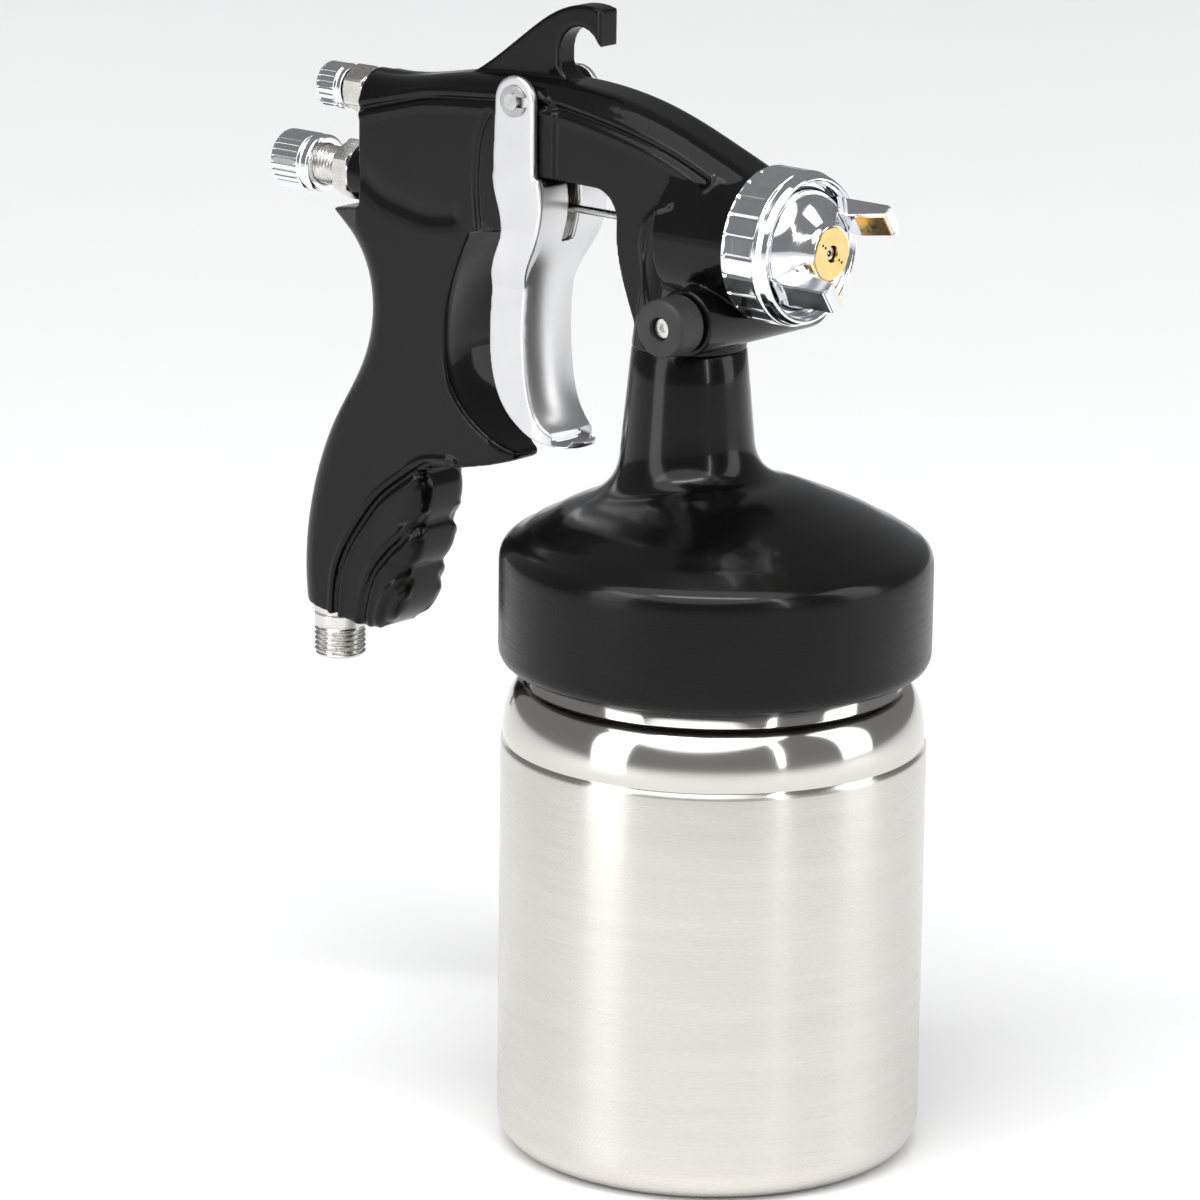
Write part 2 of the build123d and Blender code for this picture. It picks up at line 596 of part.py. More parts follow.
def make_cup_cover():
    with BuildPart() as cover:
        with BuildSketch(Plane.XZ) as half:
            with BuildLine():
                Polyline((0, 158), (0, 168.4), (20, 166.4))
                Spline((20, 166.4), (28, 163.4), (38, 159.2), (46, 155.0), (50.8, 151.8))
                ThreePointArc((50.8, 151.8), (52.2, 150.4), (COVER_RADIUS, 148.4))
                Polyline((COVER_RADIUS, 148.4), (COVER_RADIUS, SKIRT_BOTTOM + 4.3))
                ThreePointArc((COVER_RADIUS, SKIRT_BOTTOM + 4.3), (51.6, SKIRT_BOTTOM + 1.2),
                              (48.6, SKIRT_BOTTOM))
                Polyline((48.6, SKIRT_BOTTOM), (CUP_NECK_RADIUS + 0.5, SKIRT_BOTTOM),
                         (CUP_NECK_RADIUS + 0.5, COVER_CEILING), (39, COVER_CEILING), (36, 154),
                         (26, 158), (0, 158))
            make_face()
        revolve(half.sketch, axis=Axis.Z)
        with BuildSketch(Plane.XY.offset(160)) as foot:
            with Locations((NECK_X, 0)):
                Circle(17.7)
        with BuildSketch(Plane.XY.offset(NECK_TOP)) as top:
            with Locations((NECK_X, 0)):
                Circle(NECK_RADIUS)
        loft(Sketch() + [foot.sketch, top.sketch])
        joint = cover.edges().filter_by(lambda edge: 13 < neck_distance(edge @ 0) < 20 and
                                        13 < neck_distance(edge @ 0.5) < 20 and
                                        160 < edge.center().Z < 172)
        fillet(joint, radius=9)
        post(157, 188, 6.2, x=NECK_X, mode=Mode.SUBTRACT)
        post(187, NECK_TOP + 1, 9.9, x=NECK_X, mode=Mode.SUBTRACT)
    save(cover, "cup_cover")
    with BuildPart() as seal:
        post(187, 188.5, 9.7, x=NECK_X)
        post(186, 189, 6.2, x=NECK_X, mode=Mode.SUBTRACT)
    save(seal, "neck_seal")


def make_siphon():
    with BuildPart() as connector:
        with BuildSketch(Plane.XY.offset(151)) as head:
            with Locations((NECK_X, 0)):
                RegularPolygon(8, 6, major_radius=False)
        extrude(head.sketch, amount=7)
        post(158, 195.8, 6.0, x=NECK_X)
        post(150, 166, 4.5, x=NECK_X, mode=Mode.SUBTRACT)
        post(165, 197, 3.0, x=NECK_X, mode=Mode.SUBTRACT)
    save(connector, "siphon_connector")
    with BuildPart() as tube:
        post(7, 166, 4.5, x=NECK_X)
        post(6, 167, 3.5, x=NECK_X, mode=Mode.SUBTRACT)
    save(tube, "siphon_tube")


def make_cup():
    with BuildPart() as cup:
        with BuildSketch(Plane.XZ) as half:
            with BuildLine():
                Line((0, 0), (44, 0))
                ThreePointArc((44, 0), (49.66, 2.34), (CUP_RADIUS, 8))
                Polyline((CUP_RADIUS, 8), (CUP_RADIUS, 101.4), (51.3, 103.4), (51.4, 104.4))
                ThreePointArc((51.4, 104.4), (50.5, 110.6), (CUP_NECK_RADIUS, 117.4))
                Polyline((CUP_NECK_RADIUS, 117.4), (CUP_NECK_RADIUS, CUP_HEIGHT),
                         (CUP_NECK_RADIUS - CUP_WALL, CUP_HEIGHT),
                         (CUP_NECK_RADIUS - CUP_WALL, 117.0))
                ThreePointArc((CUP_NECK_RADIUS - CUP_WALL, 117.0), (49.2, 110.0), (50.0, 103.8))
                Polyline((50.0, 103.8), (CUP_RADIUS - CUP_WALL, 100.6), (CUP_RADIUS - CUP_WALL, 8))
                ThreePointArc((CUP_RADIUS - CUP_WALL, 8), (48.81, 3.19), (44, CUP_WALL))
                Polyline((44, CUP_WALL), (0, CUP_WALL), (0, 0))
            make_face()
        revolve(half.sketch, axis=Axis.Z)
    save(cup, "cup")
    with BuildPart() as gasket:
        post(CUP_HEIGHT, COVER_CEILING, 46.2)
        post(CUP_HEIGHT - 1, COVER_CEILING + 1, 40, mode=Mode.SUBTRACT)
    save(gasket, "cup_gasket")


make_gun_body()
make_air_inlet()
make_trigger()
make_trigger_pin()
make_air_valve()
make_needle()
make_fluid_control()
make_fan_control()
make_nozzle_set()
make_air_cap()
make_retaining_ring()
make_changeover()
make_cup_cover()
make_siphon()
make_cup()
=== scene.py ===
import json
import math

import bmesh
import bpy
import numpy as np
from mathutils import Matrix, Vector


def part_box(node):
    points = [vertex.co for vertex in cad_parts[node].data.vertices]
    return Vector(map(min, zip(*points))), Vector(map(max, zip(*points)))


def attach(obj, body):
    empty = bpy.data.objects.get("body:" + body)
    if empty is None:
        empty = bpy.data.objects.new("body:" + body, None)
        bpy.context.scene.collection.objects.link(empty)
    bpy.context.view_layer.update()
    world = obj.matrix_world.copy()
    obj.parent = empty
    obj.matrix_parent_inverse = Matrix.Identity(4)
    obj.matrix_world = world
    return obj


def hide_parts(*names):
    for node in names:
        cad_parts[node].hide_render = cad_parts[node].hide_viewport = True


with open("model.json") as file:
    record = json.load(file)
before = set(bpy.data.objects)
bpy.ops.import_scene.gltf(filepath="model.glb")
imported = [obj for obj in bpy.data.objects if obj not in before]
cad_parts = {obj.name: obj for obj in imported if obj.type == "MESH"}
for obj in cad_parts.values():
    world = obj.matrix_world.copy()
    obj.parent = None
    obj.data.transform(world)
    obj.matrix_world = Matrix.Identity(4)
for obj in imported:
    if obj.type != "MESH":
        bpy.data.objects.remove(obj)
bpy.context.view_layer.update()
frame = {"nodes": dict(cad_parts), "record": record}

NODES = frame["nodes"]

# Sizes in the pieces are millimetres in the frame's own axes; MM turns them into metres
MM = 0.001
CUP_RADIUS = 52.0
CUP_WALL = 1.2
NECK_X = -9.5            # axis of the cover's neck
NECK_TOP = 199.0
HORN_ANGLE = 35.0        # degrees round the nozzle line from +Y
SKIRT_TOP = 0.1495       # metres, where the cover's brushed skirt meets its dome
SHOULDER_BASE = 0.1027   # metres, where the cup's polished shoulder starts

# Places read from the frame, in metres
needle_low, needle_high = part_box("fluid_needle")
NEEDLE_Z = (needle_low[2] + needle_high[2]) / 2
fan_low, fan_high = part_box("fan_control_knob")
FAN_Z = (fan_low[2] + fan_high[2]) / 2


# ---------------------------------------------------------------- materials

class Paint:
    """One procedural material: a Principled shader and helpers that feed it."""

    def __init__(self, name, **sockets):
        self.material = bpy.data.materials.new(name)
        self.material.use_nodes = True
        tree = self.material.node_tree
        self.nodes = tree.nodes
        self.links = tree.links
        self.shader = self.nodes["Principled BSDF"]
        for socket, value in sockets.items():
            self.shader.inputs[socket.replace("_", " ")].default_value = value
        coords = self.nodes.new("ShaderNodeTexCoord")
        self.place = coords.outputs["Object"]

    def node(self, kind, **settings):
        made = self.nodes.new(kind)
        for key, value in settings.items():
            setattr(made, key, value)
        return made

    def math(self, operation, first, second=0.0):
        made = self.node("ShaderNodeMath", operation=operation)
        for socket, value in zip(made.inputs, (first, second)):
            if isinstance(value, (int, float)):
                socket.default_value = value
            else:
                self.links.new(value, socket)
        return made.outputs[0]

    def around(self, axis, centre=(0, 0, 0)):
        """(angle, place along the axis, radius) round an axis through centre."""
        moved = self.node("ShaderNodeVectorMath", operation="SUBTRACT")
        self.links.new(self.place, moved.inputs[0])
        moved.inputs[1].default_value = centre
        split = self.node("ShaderNodeSeparateXYZ")
        self.links.new(moved.outputs[0], split.inputs[0])
        order = {"X": (1, 2, 0), "Y": (0, 2, 1), "Z": (0, 1, 2)}[axis]
        first, second, along = (split.outputs[index] for index in order)
        angle = self.math("ARCTAN2", second, first)
        square = self.math("ADD", self.math("MULTIPLY", first, first), self.math("MULTIPLY", second, second))
        return angle, along, self.math("SQRT", square)

    def combine(self, first, second, third):
        made = self.node("ShaderNodeCombineXYZ")
        for socket, value in zip(made.inputs, (first, second, third)):
            if isinstance(value, (int, float)):
                socket.default_value = value
            else:
                self.links.new(value, socket)
        return made.outputs[0]

    def noise(self, scale, detail=3.0, roughness=0.5, vector=None):
        made = self.node("ShaderNodeTexNoise")
        made.inputs["Scale"].default_value = scale
        made.inputs["Detail"].default_value = detail
        made.inputs["Roughness"].default_value = roughness
        self.links.new(vector or self.place, made.inputs["Vector"])
        return made.outputs["Fac"]

    def spread(self, value, low, high, start=0.3, end=0.7):
        """Map a noise value to a range."""
        made = self.node("ShaderNodeMapRange")
        self.links.new(value, made.inputs["Value"])
        made.inputs["From Min"].default_value = start
        made.inputs["From Max"].default_value = end
        made.inputs["To Min"].default_value = low
        made.inputs["To Max"].default_value = high
        return made.outputs["Result"]

    def colours(self, value, low, high, start=0.3, end=0.7):
        ramp = self.node("ShaderNodeValToRGB")
        ramp.color_ramp.elements[0].position = start
        ramp.color_ramp.elements[0].color = (*low, 1)
        ramp.color_ramp.elements[1].position = end
        ramp.color_ramp.elements[1].color = (*high, 1)
        self.links.new(value, ramp.inputs["Fac"])
        self.links.new(ramp.outputs["Color"], self.shader.inputs["Base Color"])

    def feed(self, socket, value):
        self.links.new(value, self.shader.inputs[socket])

    def bump(self, height, distance, strength=1.0):
        made = self.node("ShaderNodeBump")
        made.inputs["Distance"].default_value = distance
        made.inputs["Strength"].default_value = strength
        self.links.new(height, made.inputs["Height"])
        previous = self.shader.inputs["Normal"].links
        if previous:
            self.links.new(previous[0].from_socket, made.inputs["Normal"])
        self.links.new(made.outputs["Normal"], self.shader.inputs["Normal"])


def brushed_round(paint, axis, centre, lines, strength, low, high):
    """Fine turning or brushing marks that run round an axis."""
    angle, along, radius = paint.around(axis, centre)
    marks = paint.combine(paint.math("MULTIPLY", angle, 1.6), paint.math("MULTIPLY", along, lines),
                          paint.math("MULTIPLY", radius, lines))
    grain = paint.noise(1.0, detail=4.0, roughness=0.65, vector=marks)
    paint.feed("Roughness", paint.spread(grain, low, high))
    paint.bump(grain, 0.02 * MM, strength)


BLACK_LOW, BLACK_HIGH = (0.0020, 0.0019, 0.0019), (0.0036, 0.0034, 0.0033)


def black_casting():
    paint = Paint("black_casting_paint", IOR=1.14, Coat_Weight=0.45, Coat_Roughness=0.08, Coat_IOR=1.45)
    peel = paint.noise(420, detail=2.0)
    cloud = paint.noise(45, detail=4.0)
    paint.colours(cloud, BLACK_LOW, BLACK_HIGH)
    paint.feed("Roughness", paint.spread(cloud, 0.30, 0.40))
    paint.bump(peel, 0.03 * MM, 0.3)
    paint.bump(paint.noise(2200, detail=2.0), 0.008 * MM, 0.35)
    return paint.material


def black_cover():
    paint = Paint("black_cover_paint", IOR=1.27, Coat_Roughness=0.10, Coat_IOR=1.4)
    angle, along, _ = paint.around("Z")
    marks = paint.combine(paint.math("MULTIPLY", angle, 2.2), paint.math("MULTIPLY", along, 2600), 0.0)
    grain = paint.noise(1.0, detail=4.0, roughness=0.7, vector=marks)
    cloud = paint.noise(40, detail=4.0)
    on_skirt = paint.spread(along, 1.0, 0.0, SKIRT_TOP - 1 * MM, SKIRT_TOP + 1 * MM)
    paint.colours(cloud, BLACK_LOW, BLACK_HIGH)
    brushed = paint.math("MULTIPLY", on_skirt, paint.spread(grain, 0.0, 0.2))
    paint.feed("Roughness", paint.math("ADD", 0.2, brushed))
    paint.feed("Coat Weight", paint.math("SUBTRACT", 0.36, paint.math("MULTIPLY", on_skirt, 0.3)))
    paint.bump(paint.math("MULTIPLY", grain, on_skirt), 0.02 * MM, 0.5)
    paint.bump(paint.noise(420, detail=2.0), 0.02 * MM, 0.2)
    return paint.material


def cup_aluminium():
    paint = Paint("cup_brushed_aluminium", Metallic=1.0, Anisotropic=0.8, Anisotropic_Rotation=0.25)
    angle, along, _ = paint.around("Z")
    marks = paint.combine(paint.math("MULTIPLY", angle, 1.6), paint.math("MULTIPLY", along, 3400), 0.0)
    grain = paint.noise(1.0, detail=5.0, roughness=0.7, vector=marks)
    bands = paint.combine(paint.math("MULTIPLY", angle, 0.8), paint.math("MULTIPLY", along, 190), 0.0)
    wide = paint.noise(1.0, detail=3.0, vector=bands)
    polished = paint.spread(along, 0.0, 1.0, SHOULDER_BASE - 0.5 * MM, SHOULDER_BASE + 0.5 * MM)
    mixed = paint.node("ShaderNodeMix", data_type="FLOAT")
    paint.links.new(polished, mixed.inputs[0])
    paint.links.new(paint.spread(grain, 0.20, 0.32), mixed.inputs[2])
    mixed.inputs[3].default_value = 0.12
    paint.feed("Roughness", mixed.outputs[0])
    paint.colours(wide, (0.62, 0.60, 0.565), (0.67, 0.65, 0.615), start=0.2, end=0.8)
    keep = paint.math("SUBTRACT", 1.0, polished)
    paint.bump(paint.math("MULTIPLY", grain, keep), 0.01 * MM, 0.3)
    tangent = paint.node("ShaderNodeTangent", direction_type="RADIAL", axis="Z")
    paint.feed("Tangent", tangent.outputs[0])
    return paint.material


def polished_trigger():
    paint = Paint("polished_trigger_metal", Metallic=1.0)
    split = paint.node("ShaderNodeSeparateXYZ")
    paint.links.new(paint.place, split.inputs[0])
    across, along, height = split.outputs
    lines = paint.combine(paint.math("MULTIPLY", across, 2600), paint.math("MULTIPLY", along, 2600),
                          paint.math("MULTIPLY", height, 45))
    scratches = paint.noise(1.0, detail=4.0, vector=lines)
    cloud = paint.noise(70, detail=3.0)
    paint.colours(cloud, (0.66, 0.66, 0.665), (0.71, 0.71, 0.715))
    paint.feed("Roughness", paint.spread(scratches, 0.31, 0.36))
    paint.bump(scratches, 0.002 * MM, 0.3)
    return paint.material


def turned_metal(name, colour_low, colour_high, low, high, axis, centre, lines=2600, strength=0.35):
    paint = Paint(name, Metallic=1.0)
    brushed_round(paint, axis, centre, lines, strength, low, high)
    paint.colours(paint.noise(300, detail=3.0), colour_low, colour_high)
    return paint.material


def rubber(name, colour_low, colour_high, low, high):
    paint = Paint(name, IOR=1.45)
    speck = paint.noise(1500, detail=3.0)
    paint.colours(paint.noise(90, detail=4.0), colour_low, colour_high)
    paint.feed("Roughness", paint.spread(speck, low, high))
    paint.bump(speck, 0.03 * MM, 0.35)
    return paint.material


NEEDLE_LINE = (0, 0, NEEDLE_Z)
FAN_LINE = (0, 0, FAN_Z)
CHROME_LOW, CHROME_HIGH = (0.78, 0.79, 0.81), (0.86, 0.87, 0.89)
STEEL_LOW, STEEL_HIGH = (0.52, 0.52, 0.52), (0.68, 0.68, 0.67)
BRASS_LOW, BRASS_HIGH = (0.84, 0.58, 0.23), (0.93, 0.68, 0.32)
MATERIALS = {
    "black_casting": black_casting(),
    "black_cover": black_cover(),
    "cup_aluminium": cup_aluminium(),
    "polished_trigger": polished_trigger(),
    "chrome_parts": turned_metal("chrome_plating", CHROME_LOW, CHROME_HIGH, 0.05, 0.12, "X", NEEDLE_LINE),
    "nickel_fitting": turned_metal("satin_nickel", (0.60, 0.59, 0.56), (0.74, 0.72, 0.69), 0.18, 0.34,
                                   "X", NEEDLE_LINE),
    "steel_parts": turned_metal("turned_steel", STEEL_LOW, STEEL_HIGH, 0.16, 0.30, "X", NEEDLE_LINE),
    "spring_wire": turned_metal("spring_wire_steel", (0.36, 0.36, 0.36), (0.5, 0.5, 0.5), 0.25, 0.4, "X",
                                NEEDLE_LINE),
    "brass_parts": turned_metal("turned_brass", BRASS_LOW, BRASS_HIGH, 0.14, 0.28, "X", NEEDLE_LINE),
    "seal_rubber": rubber("seal_rubber_black", (0.016, 0.016, 0.016), (0.035, 0.035, 0.034), 0.5, 0.7),
    "knob_rubber": rubber("knob_rubber_black", (0.020, 0.020, 0.020), (0.036, 0.035, 0.034), 0.45, 0.62),
}
SLOT_OF = {part["node"]: part["material_slot"] for part in frame["record"]["subparts"]}
for node_name, node_object in NODES.items():
    node_object.data.materials.clear()
    node_object.data.materials.append(MATERIALS[SLOT_OF[node_name]])


# ---------------------------------------------------------------- shape helpers

CUP_LINE = Vector((0, 0, 0))
NEEDLE_POINT = Vector((0, 0, NEEDLE_Z))
FAN_POINT = Vector((0, 0, FAN_Z))


def add_piece(name, shape, body, slot, replaced=(), sharp=32.0, finish=None):
    """Turn a finished bmesh into a smooth-shaded piece that rides on a body."""
    bmesh.ops.remove_doubles(shape, verts=shape.verts, dist=1e-6)
    bmesh.ops.recalc_face_normals(shape, faces=shape.faces)
    limit = math.radians(sharp)
    for face in shape.faces:
        face.smooth = True
    for edge in shape.edges:
        edge.smooth = len(edge.link_faces) == 2 and edge.calc_face_angle(0) < limit
    mesh = bpy.data.meshes.new(name)
    shape.to_mesh(mesh)
    shape.free()
    piece = bpy.data.objects.new(name, mesh)
    bpy.context.scene.collection.objects.link(piece)
    mesh.materials.append(finish or MATERIALS[slot])
    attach(piece, body)
    if replaced:
        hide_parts(*replaced)
    return piece


def soften(outline, radius, steps=4):
    """Round the corners of a closed outline of (along, radius) points, in mm."""
    rounded = []
    count = len(outline)
    for index, corner in enumerate(outline):
        here = Vector(corner)
        before = Vector(outline[index - 1])
        after = Vector(outline[(index + 1) % count])
        if here.y == 0:
            rounded.append(tuple(here))
            continue
        back = (before - here).normalized() * min(radius, 0.45 * (before - here).length)
        ahead = (after - here).normalized() * min(radius, 0.45 * (after - here).length)
        for step in range(steps + 1):
            share = step / steps
            low = here + back * (1 - share)
            high = here + ahead * share
            rounded.append(tuple(low.lerp(high, share)))
    return rounded


def refine(outline, spacing, start, end):
    """Add stations to the straight runs of an outline that lie between start and end."""
    dense = []
    for index, point in enumerate(outline):
        dense.append(point)
        after = outline[(index + 1) % len(outline)]
        run = math.dist(point, after)
        middle = (point[0] + after[0]) / 2
        if run > spacing and start <= middle <= end:
            pieces = math.ceil(run / spacing)
            for step in range(1, pieces):
                share = step / pieces
                dense.append((point[0] + (after[0] - point[0]) * share,
                              point[1] + (after[1] - point[1]) * share))
    return dense


def turned(outline, centre, axis="X", columns=192, cut=None):
    """Turn a closed (along, radius) outline in mm; cut(angle, along, radius) gives the local radius."""
    shape = bmesh.new()
    rings = []
    for along, radius in outline:
        ring = []
        for column in range(columns):
            angle = 2 * math.pi * column / columns
            reach = cut(angle, along, radius) if cut else radius
            first, second = reach * math.cos(angle) * MM, reach * math.sin(angle) * MM
            offset = {"X": (along * MM, first, second), "Y": (first, along * MM, second),
                      "Z": (first, second, along * MM)}[axis]
            ring.append(shape.verts.new(centre + Vector(offset)))
        rings.append(ring)
    for row, ring in enumerate(rings):
        following = rings[(row + 1) % len(rings)]
        for column in range(columns):
            beside = (column + 1) % columns
            shape.faces.new((ring[column], ring[beside], following[beside], following[column]))
    bmesh.ops.dissolve_degenerate(shape, dist=1e-7, edges=shape.edges)
    return shape


def thread(pitch, depth, start, end, least):
    """Helical thread on the outside of a turned piece."""
    def cut(angle, along, radius):
        if radius < least or not start <= along <= end:
            return radius
        fade = min(1.0, (along - start) / pitch, (end - along) / pitch)
        phase = along / pitch - angle / (2 * math.pi)
        return radius - depth * fade * (0.5 - 0.5 * math.cos(2 * math.pi * phase))
    return cut


def hexagon(across, start, end):
    """Hexagonal faces on the outside of a turned piece."""
    def cut(angle, along, radius):
        if not start <= along <= end:
            return radius
        local = (math.degrees(angle) + 30) % 60 - 30
        return min(radius, across / 2 / math.cos(math.radians(local)))
    return cut


KNURL_RUNOUT = 0.5


def knurl(count, depth, half_angle, start, end, least):
    """Narrow straight grooves between flat lands on the outside of a turned piece."""
    def cut(angle, along, radius):
        if radius < least or not start <= along <= end:
            return radius
        pitch = 360 / count
        local = abs((math.degrees(angle) % pitch) - pitch / 2)
        land = radius * math.cos(math.radians(pitch / 2)) / math.cos(math.radians(local))
        edge = pitch / 2 - local
        fade = min(1.0, (along - start) / KNURL_RUNOUT, (end - along) / KNURL_RUNOUT)
        groove = max(0.0, 1 - (edge / half_angle) ** 2)
        return radius - fade * (radius - land) - fade * depth * groove
    return cut


def both(first, second):
    """Two cuts, one after the other."""
    return lambda angle, along, radius: second(angle, along, first(angle, along, radius))


def skin(node, voxel, rounds):
    """A watertight remeshed copy of a CAD node with softened edges."""
    mesh = NODES[node].data.copy()
    helper = bpy.data.objects.new(node + "_source", mesh)
    bpy.context.scene.collection.objects.link(helper)
    remesh = helper.modifiers.new("remesh", "REMESH")
    remesh.mode = "VOXEL"
    remesh.voxel_size = voxel * MM
    remesh.use_smooth_shade = True
    smooth = helper.modifiers.new("smooth", "SMOOTH")
    smooth.factor = 0.5
    smooth.iterations = rounds
    bpy.context.view_layer.update()
    evaluated = helper.evaluated_get(bpy.context.evaluated_depsgraph_get())
    shape = bmesh.new()
    shape.from_mesh(evaluated.to_mesh())
    evaluated.to_mesh_clear()
    bpy.data.objects.remove(helper)
    bpy.data.meshes.remove(mesh)
    return shape


def path_distance(points, path):
    """Distance in mm from many (x, z) points to a polyline."""
    best = np.full(len(points), 1e9)
    for start, end in zip(path, path[1:]):
        start, end = np.array(start), np.array(end)
        run = end - start
        share = np.clip(((points - start) @ run) / (run @ run), 0, 1)
        best = np.minimum(best, np.linalg.norm(points - start - share[:, None] * run, axis=1))
    return best


def curve_through(points, steps=8):
    """Smooth polyline through (x, z) points."""
    ends = [points[0]] + list(points) + [points[-1]]
    line = []
    for a, b, c, d in zip(ends, ends[1:], ends[2:], ends[3:]):
        for step in range(steps):
            t = step / steps
            line.append(tuple(0.5 * (2 * q + (r - p) * t + (2 * p - 5 * q + 4 * r - u) * t * t +
                                     (3 * q - p - 3 * r + u) * t ** 3)
                              for p, q, r, u in zip(a, b, c, d)))
    line.append(points[-1])
    return line


# ---------------------------------------------------------------- casting

# Lines on the sides of the casting as (x, z); each profile is a list of (height, offset, width) bands
SPINE_GROOVE = [(-107.5, 245.6), (-94.3, 249.2), (-85.5, 251.2), (-68.1, 252.7), (-49.1, 254.1),
                (-30.1, 251.6), (-11.3, 247.3), (2.5, 242.0)]
REAR_CREASE = [(-106.6, 228.4), (-100.6, 224.9), (-87.3, 222.2), (-78.0, 223.0)]
GRIP_GROOVES = [[(-78.0, 159.2), (-86.5, 157.9), (-93.5, 153.2), (-101.6, 146.9), (-107.3, 140),
                 (-111.4, 134.1), (-115.1, 126.1), (-116.2, 115)],
                [(-88.5, 143.6), (-93.4, 138), (-99.1, 132.6), (-103.9, 126.3), (-107.4, 114)],
                [(-91, 128.9), (-95.2, 124.6), (-98.4, 121.1), (-102, 113)]]
PAD_GROOVE = [(-63.5, 252), (-66.5, 248.5), (-68.9, 243), (-69.8, 233), (-69.3, 224), (-68.6, 219.5)]
COLUMN_RIDGE = [(-4.5, 236), (-13.5, 231.6), (-16.6, 226), (-15.6, 218), (-12.0, 208)]
SPINE_PROFILE = [(-1.0, 0.0, 0.8), (0.32, 1.9, 0.8)]
CREASE_PROFILE = [(-0.55, 0.0, 2.6)]
GRIP_PROFILE = [(-0.5, 0.0, 0.75), (0.38, 1.75, 0.6)]
PAD_PROFILE = [(-0.6, 0.0, 0.8)]
RIDGE_PROFILE = [(0.55, 0.0, 0.8)]
BODY_HALF = 10.0
SWELL_STEP = 0.3
BODY_VOXEL = 0.42


def pressed(flat, path, profile):
    """Height change in mm at each (x, z) point beside a drawn line."""
    away = path_distance(flat, curve_through(path))
    return sum(height * np.exp(-((away - offset) / width) ** 2) for height, offset, width in profile)


def gun_body_shell():
    shape = skin("gun_body", BODY_VOXEL, 5)
    shape.verts.ensure_lookup_table()
    shape.normal_update()
    places = np.array([vert.co for vert in shape.verts]) / MM
    across, along, height = places.T
    grip = (height > 112) & (height < 157) & (across > -113.5) & (across < -84)
    # The sides of the grip come flush with the ends of its swells
    band = np.clip((across + 112) / 8, 0, 1) * np.clip((160 - height) / 4, 0, 1) * (across < -84)
    limit = BODY_HALF - SWELL_STEP * band
    flush = np.clip(along, -limit, limit)
    for vert, side, near in zip(shape.verts, flush.tolist(), band.tolist()):
        if near > 0:
            vert.co.y = side * MM
    lip = (height > 160) & (height < 200) & (across > -86) & (np.abs(along) > 1) & (across < -62)
    tip = (height > 158) & (height < 172) & (across > -67) & (across < -56)
    for chosen, rounds in ((grip, 12), (lip, 8), (tip, 14)):
        soft = [vert for vert, pick in zip(shape.verts, chosen.tolist()) if pick]
        for _ in range(rounds):
            bmesh.ops.smooth_vert(shape, verts=soft, factor=0.5, use_axis_x=True, use_axis_y=True,
                                  use_axis_z=True)
    shape.normal_update()
    places = np.array([vert.co for vert in shape.verts]) / MM
    normals = np.array([vert.normal for vert in shape.verts])
    flat = places[:, (0, 2)]
    depth = np.abs(places[:, 1])
    outside = np.clip((depth - 4.5) / 1.5, 0, 1)
    shift = pressed(flat, SPINE_GROOVE, SPINE_PROFILE) + pressed(flat, REAR_CREASE, CREASE_PROFILE)
    for groove in GRIP_GROOVES:
        shift += pressed(flat, groove, GRIP_PROFILE)
    shift += pressed(flat, PAD_GROOVE, PAD_PROFILE)
    shift += pressed(flat, COLUMN_RIDGE, RIDGE_PROFILE) * (places[:, 0] < 3)
    shift *= outside
    # The grip's front hollows slightly behind the trigger
    hollow = np.exp(-((places[:, 2] - 192) / 17) ** 4) * np.clip((places[:, 0] + 84) / 4, 0, 1)
    hollow *= (places[:, 0] < -62) * (normals[:, 0] > 0.5) * (places[:, 2] < 216)
    shift += -0.9 * hollow * np.clip(1 - (depth / 7.5) ** 2, 0, 1)
    places += shift[:, None] * normals
    for vert, place in zip(shape.verts, places):
        vert.co = Vector(place) * MM
    bmesh.ops.smooth_vert(shape, verts=shape.verts, factor=0.4, use_axis_x=True, use_axis_y=True,
                          use_axis_z=True)
    add_piece("gun_body_shell", shape, "gun", "black_casting", ["gun_body"], sharp=80)


# ---------------------------------------------------------------- cup and cover

def cup_shell():
    """Spun cup: outline as (height, radius), outside first, then back down the inside."""
    crease = [(101.4, CUP_RADIUS), (102.4, 51.85), (103.0, 51.3), (103.4, 51.25), (104.2, 51.55)]
    shoulder = [(104.2 + 13.2 * math.sin(t), 46 + 5.55 * math.cos(t))
                for t in np.linspace(0.12, 1.48, 18).tolist()]
    outside = [(0, 0), (0, 43.2), (0.25, 44.2)]
    outside += [(8 - 7.8 * math.cos(t), 44.1 + 7.9 * math.sin(t))
                for t in np.linspace(0.12, 1.5, 14).tolist()]
    wall = [(8.4, CUP_RADIUS), (40, CUP_RADIUS), (70, CUP_RADIUS)]
    neck = [(117.8, 46.0), (145.4, 46.0), (146, 45.8), (146, 45.0), (145.6, 44.8), (117.4, 44.8)]
    inner = [(along, radius - CUP_WALL) for along, radius in reversed(shoulder)]
    inside = [(103.0, 50.1), (101.4, CUP_RADIUS - CUP_WALL), (8, CUP_RADIUS - CUP_WALL)]
    floor = [(8 - 6.8 * math.cos(t), 44 + 6.8 * math.sin(t)) for t in np.linspace(1.45, 0, 10).tolist()]
    outline = outside + wall + crease + shoulder + neck + inner + inside + floor + [(CUP_WALL, 0)]
    add_piece("cup_shell", turned(outline, CUP_LINE, "Z", 256), "cup", "cup_aluminium", ["cup"], sharp=50)


